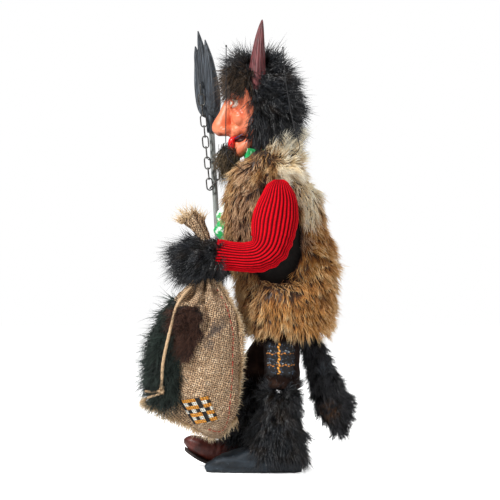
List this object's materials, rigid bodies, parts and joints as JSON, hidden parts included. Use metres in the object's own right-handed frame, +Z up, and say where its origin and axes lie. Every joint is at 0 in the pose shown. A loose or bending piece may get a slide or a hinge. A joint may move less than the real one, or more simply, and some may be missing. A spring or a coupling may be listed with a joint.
{
  "type": "devil string puppet figurine",
  "caption": "Carved wooden string-puppet devil in fur and knit clothes, with hinged jaw and limbs, holding a trident with a chain and a patched burlap sack.",
  "frame": {"origin": "middle of the foot of the figure's bounding box, its strings and rope left out", "axes": "+Z up along the figure's height, +X to the figure's left side, and the figure faces -Y"},
  "size_m": [0.209, 0.2344, 0.5201],
  "materials": {
    "skin_paint": "painted, semi-gloss",
    "bare_wood": "plain turned wood",
    "black_fur": "long-haired fur",
    "brown_fur": "fur",
    "red_knit": "ribbed knit",
    "green_cloth": "woven",
    "burlap": "coarse weave",
    "trouser_cloth": "woven, matte",
    "steel": "dark, worn",
    "trident_paint": "painted, satin",
    "horn_paint": "painted, satin",
    "pole_paint": "painted, matte",
    "hoof_paint": "painted, satin",
    "boot_paint": "painted, worn",
    "sole_leather": "worn",
    "tongue_paint": "painted, gloss",
    "thread": "twisted thread",
    "rope": "twisted rope",
    "check_cloth": "woven check"
  },
  "bodies": {
    "torso": {"torso_block": "bare_wood", "shoulder_rod": "steel", "shirt": "green_cloth", "vest": "brown_fur", "pelvis_block": "bare_wood", "string_front": "thread", "string_back": "thread"},
    "neck": {"neck_post": "bare_wood"},
    "head": {"head": "skin_paint", "horn_left": "horn_paint", "horn_right": "horn_paint", "hair": "black_fur"},
    "jaw": {"jaw": "skin_paint", "tongue": "tongue_paint", "beard": "black_fur"},
    "left_upper_arm": {"upper_arm_left": "bare_wood", "upper_sleeve_left": "red_knit"},
    "left_forearm": {"forearm_left": "skin_paint", "lower_sleeve_left": "red_knit", "fur_cuff_left": "black_fur", "sack_neck": "burlap"},
    "sack": {"sack": "burlap", "sack_brown_fur_patch": "brown_fur", "sack_black_fur_patch": "black_fur", "sack_cloth_patch": "check_cloth", "sack_rope": "rope"},
    "right_upper_arm": {"upper_arm_right": "bare_wood", "upper_sleeve_right": "red_knit"},
    "right_forearm": {"forearm_right": "skin_paint", "lower_sleeve_right": "red_knit", "fur_cuff_right": "black_fur"},
    "trident": {"trident_pole": "pole_paint", "trident_head": "trident_paint", "chain_ring": "steel"},
    "chain": {"chain_link_01": "steel", "chain_link_02": "steel", "chain_link_03": "steel", "chain_link_04": "steel", "chain_link_05": "steel", "chain_link_06": "steel", "chain_link_07": "steel", "chain_link_08": "steel", "chain_link_09": "steel", "chain_link_10": "steel", "chain_link_11": "steel", "chain_link_12": "steel", "chain_link_13": "steel"},
    "left_thigh": {"thigh_left": "bare_wood", "trouser_leg_left": "trouser_cloth"},
    "left_shin": {"shin_left": "bare_wood", "shin_fur_left": "black_fur", "hoof": "hoof_paint"},
    "right_thigh": {"thigh_right": "bare_wood", "trouser_leg_right": "trouser_cloth"},
    "right_shin": {"shin_right": "bare_wood", "shin_fur_right": "black_fur", "boot": "boot_paint", "boot_sole": "sole_leather"},
    "tail": {"tail": "black_fur"}
  },
  "joints": [
    {"name": "neck_turn", "type": "hinge", "parent": "torso", "child": "neck", "pos_m": [0.01711, 0.0214, 0.35], "axis": [0, 0, 1], "range_deg": [-30, 30]},
    {"name": "head_nod", "type": "hinge", "parent": "neck", "child": "head", "pos_m": [0.01711, 0.0214, 0.398], "axis": [-1, 0, 0], "range_deg": [-4, 8]},
    {"name": "jaw_open", "type": "hinge", "parent": "head", "child": "jaw", "pos_m": [0.01711, 0.0094, 0.388], "axis": [1, 0, 0], "range_deg": [-4, 10]},
    {"name": "left_shoulder", "type": "hinge", "parent": "torso", "child": "left_upper_arm", "pos_m": [0.08011, 0.0334, 0.322], "axis": [-1, 0, 0], "range_deg": [0, 35]},
    {"name": "left_elbow", "type": "hinge", "parent": "left_upper_arm", "child": "left_forearm", "pos_m": [0.08011, 0.0254, 0.252], "axis": [-1, 0, 0], "range_deg": [0, 35]},
    {"name": "sack_swing", "type": "hinge", "parent": "left_forearm", "child": "sack", "pos_m": [0.07711, -0.0486, 0.2244], "axis": [-1, 0, 0], "range_deg": [-4, 25]},
    {"name": "right_shoulder", "type": "hinge", "parent": "torso", "child": "right_upper_arm", "pos_m": [-0.04589, 0.0334, 0.322], "axis": [-1, 0, 0], "range_deg": [0, 35]},
    {"name": "right_elbow", "type": "hinge", "parent": "right_upper_arm", "child": "right_forearm", "pos_m": [-0.04589, 0.0254, 0.252], "axis": [-1, 0, 0], "range_deg": [0, 35]},
    {"name": "trident_slide", "type": "slide", "parent": "right_forearm", "child": "trident", "axis": [0, -0.0555, 0.9985], "range_m": [-0.02, 0.03]},
    {"name": "chain_swing", "type": "hinge", "parent": "trident", "child": "chain", "pos_m": [-0.07089, -0.05176, 0.456], "axis": [-0.0934, -0.1434, 0.9853], "range_deg": [0, 6]},
    {"name": "left_hip", "type": "hinge", "parent": "torso", "child": "left_thigh", "pos_m": [0.04811, 0.0374, 0.17], "axis": [1, 0, 0], "range_deg": [0, 15]},
    {"name": "left_knee", "type": "hinge", "parent": "left_thigh", "child": "left_shin", "pos_m": [0.04811, 0.0404, 0.108], "axis": [1, 0, 0], "range_deg": [0, 25]},
    {"name": "right_hip", "type": "hinge", "parent": "torso", "child": "right_thigh", "pos_m": [-0.01389, 0.0314, 0.17], "axis": [-1, 0, 0], "range_deg": [0, 15]},
    {"name": "right_knee", "type": "hinge", "parent": "right_thigh", "child": "right_shin", "pos_m": [-0.01389, 0.0134, 0.108], "axis": [1, 0, 0], "range_deg": [0, 25]},
    {"name": "tail_swing", "type": "hinge", "parent": "torso", "child": "tail", "pos_m": [0.01711, 0.0644, 0.16], "axis": [1, 0, 0], "range_deg": [0, 8]}
  ]
}
